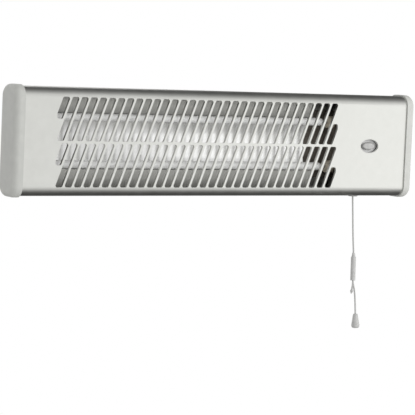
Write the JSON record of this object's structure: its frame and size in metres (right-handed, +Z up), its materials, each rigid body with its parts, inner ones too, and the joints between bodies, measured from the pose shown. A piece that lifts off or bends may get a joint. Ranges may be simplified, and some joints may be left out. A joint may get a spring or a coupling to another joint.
{
  "type": "quartz wall heater",
  "caption": "Long silver wall heater on a tilting bracket: slotted front over quartz tubes and a bright reflector, plastic end caps, oval indicator, pull-cord switch.",
  "frame": {"origin": "on the wall, midway between the two wall screws", "axes": "+X to the right seen from the front, +Y into the wall, +Z up"},
  "size_m": [0.6, 0.0921, 0.3165],
  "materials": {
    "silver_casing": "satin silver",
    "cap_plastic": "fine grain",
    "zinc_steel": "zinc plated",
    "dark_steel": "dull dark paint",
    "bright_reflector": "bright rolled",
    "milky_quartz": "milky",
    "resistance_wire": "dull",
    "ceramic": "unglazed ceramic",
    "lens_plastic": "clear grey",
    "bezel_plastic": "satin",
    "neon_glass": "clear",
    "black_plastic": "moulded",
    "white_plastic": "moulded",
    "white_cord": "braided",
    "grey_rubber": "moulded"
  },
  "bodies": {
    "bracket": {"wall_plate": "zinc_steel", "left_bracket_arm": "zinc_steel", "right_bracket_arm": "zinc_steel", "bracket_rivets": "zinc_steel", "pivot_bolts": "zinc_steel", "pivot_washers": "zinc_steel", "pivot_nuts": "zinc_steel"},
    "heater": {"front_housing": "silver_casing", "rear_cover": "dark_steel", "rear_cover_screws": "zinc_steel", "left_end_cap": "cap_plastic", "right_end_cap": "cap_plastic", "left_pivot_lug": "zinc_steel", "right_pivot_lug": "zinc_steel", "lug_screws": "zinc_steel", "left_tube_carrier": "dark_steel", "right_tube_carrier": "dark_steel", "carrier_screws": "zinc_steel", "reflector": "bright_reflector", "upper_quartz_tube": "milky_quartz", "lower_quartz_tube": "milky_quartz", "upper_heating_coil": "resistance_wire", "lower_heating_coil": "resistance_wire", "tube_end_plugs": "milky_quartz", "terminal_pins": "zinc_steel", "ceramic_holders": "ceramic", "thermal_cutout": "black_plastic", "indicator_bezel": "bezel_plastic", "indicator_lens": "lens_plastic", "lamp_tray": "white_plastic", "neon_lamp": "neon_glass", "pull_switch_body": "black_plastic", "cord_guide_bush": "white_plastic", "terminal_block": "white_plastic", "cable_grommet": "grey_rubber"},
    "switch_rod": {"switch_plunger": "white_plastic", "inner_cord": "white_cord"},
    "pull_cord": {"upper_cord": "white_cord", "connector_upper_half": "white_plastic", "connector_lower_half": "white_plastic", "lower_cord": "white_cord", "tail_knot": "white_cord", "pull_bell": "white_plastic"}
  },
  "joints": [
    {"name": "tilt", "type": "hinge", "parent": "bracket", "child": "heater", "pos_m": [0, -0.03, 0], "axis": [1, 0, 0], "range_deg": [-4.75, 25.25]},
    {"name": "cord_pull", "type": "slide", "parent": "heater", "child": "switch_rod", "axis": [0, 0.0828, -0.9966], "range_m": [0, 0.011], "stiffness_N_per_m": 1000},
    {"name": "cord_plumb", "type": "hinge", "parent": "switch_rod", "child": "pull_cord", "pos_m": [0.219, -0.0596, -0.0725], "axis": [1, 0, 0], "range_deg": [-26, 6]}
  ],
  "couplings": [
    {"joint": "cord_plumb", "follows": "tilt", "ratio": -1}
  ]
}
